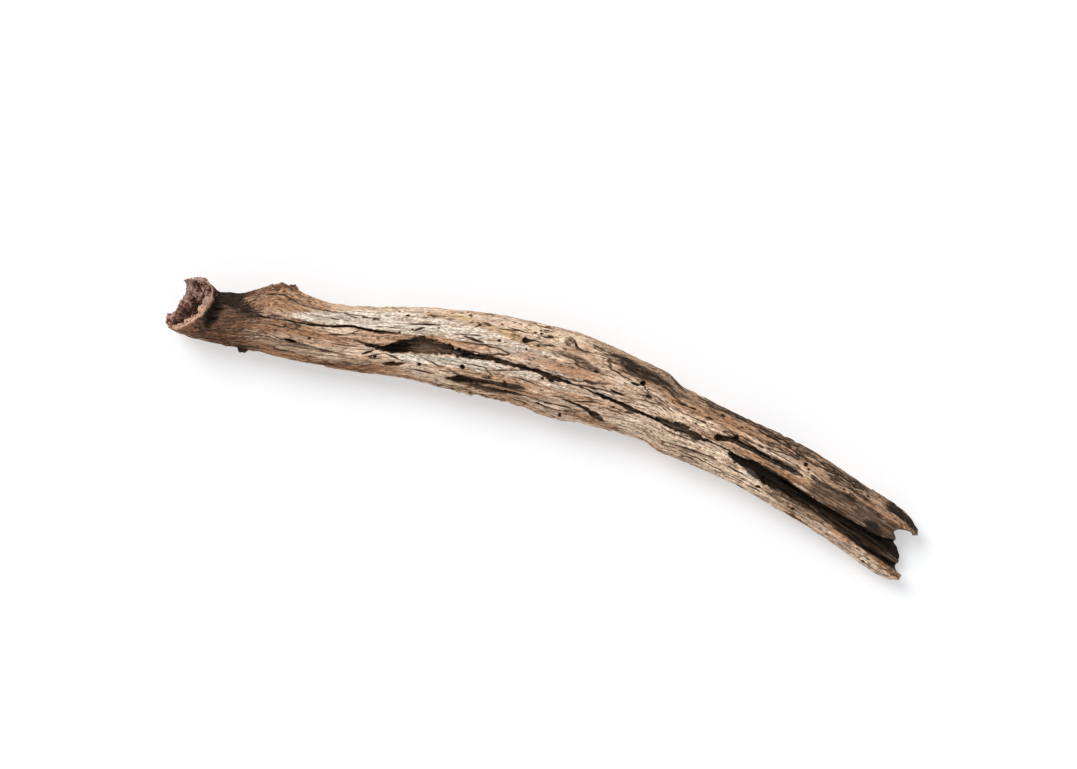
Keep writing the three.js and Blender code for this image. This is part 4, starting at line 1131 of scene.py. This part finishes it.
    color = sheet.ramp(parts["streaks"], [(0.34, look["tanDeep"]), (0.47, look["tan"]),
                                          (0.6, look["tanPale"]), (0.78, look["tan"])])
    for name, (pattern, low, high, most) in washes.items():
        color = sheet.mix(color, look[name], parts[pattern].step(low, high) * most)
    for name in ("silver", "cream", "ochre", "rust", "brown", "russet", "knot"):
        color = tinted(color, name)

    # painted light and shade: the relief field makes raised fibres lighter and low ones darker
    tone = weighed(0.55, strands=0.3, threads=0.26, stipple=0.52, relief=0.16)
    color = sheet.lit(color, tone.above(look["darkest"]))
    glints = (parts["threads"] * parts["strands"]).step(*steps["glints"])
    quiet = 1.0 - sheet.number("russet") * amounts["russetQuiet"]  # fewer light threads on the russet
    color = sheet.mix(color, look["thread"], glints * quiet * amounts["glints"])
    calm = amounts["dashes"] - sheet.number("silver") * amounts["silverCalm"]  # fewer dark dashes on the silver
    fineLines = abs(parts["lines"] - 0.5).step(*steps["lines"]) * parts["stipple"].step(*steps["linePatches"])
    color = sheet.mix(color, look["dash"], parts["dashes"].step(*steps["dashes"]) * calm)
    color = sheet.mix(color, look["dash"], fineLines * calm)
    # painted shade in the deepest dips of the fine relief
    color = sheet.mix(color, look["dash"], parts["relief"].step(*steps["dips"]) * amounts["dips"])

    # crack floors by the cavity field: painted shade with the hollows' dark stain, brown when shallow, near
    # black when deep
    floor = sheet.ramp(mixed, [(0.25, look["floor"]), (0.85, look["floorPale"])])
    char = sheet.ramp(mixed, [(0.3, look["char"]), (0.62, look["charAndShadePale"]), (0.92, look["charAndShadeBand"])])
    inFloor = parts["cavity"] + swing(threads=0.25)
    inCharAndShade = parts["cavity"] + swing(strands=0.42, stipple=0.28)
    color = sheet.mix(color, floor, inFloor.step(*steps["floor"]))
    color = sheet.mix(color, char, inCharAndShade.step(*steps["char"]) * amounts["char"])
    color = tinted(color, "char")

    # painted shade low and painted highlight high on the broken face, over its own red-brown and pink
    height = weighed(0.0, sponge=1.0, relief=0.16, lip=0.11)
    height = height + swing(grit=1.0) * weighed(0.5, lip=0.7)
    stump = sheet.ramp(height, [(0.3, look["pit"]), (0.45, look["stump"]), (0.58, look["stumpPink"]),
                                (0.76, look["rim"])])
    ashen = sheet.number("plateau") * height.step(*steps["ash"])
    stump = sheet.mix(stump, look["ash"], ashen * amounts["ash"])
    stump = sheet.mix(stump, look["pit"], parts["grit"].step(*steps["pits"]) * amounts["pits"])
    color = sheet.mix(color, stump, sheet.number("stump").clamped())

    parts["gaps"] = parts["dashes"].step(*steps["gaps"])
    lift = weighed(0.0, strands=0.35, threads=0.3, gaps=0.5, stipple=0.3, grit=0.3)
    bump = sheet.add("ShaderNodeBump", {}, {"Strength": look["bump"], "Distance": look["bumpDistance"],
                                            "Height": lift})
    return sheet.finish({"Base Color": color, "Roughness": weighed(0.97, threads=-0.1).clamped(),
                         "Normal": bump.outputs["Normal"], "Specular IOR Level": look["shine"]})


makeCamera()
makeStage()
print("camera, floor and light made")
makeDriftwood()
print("driftwood made")
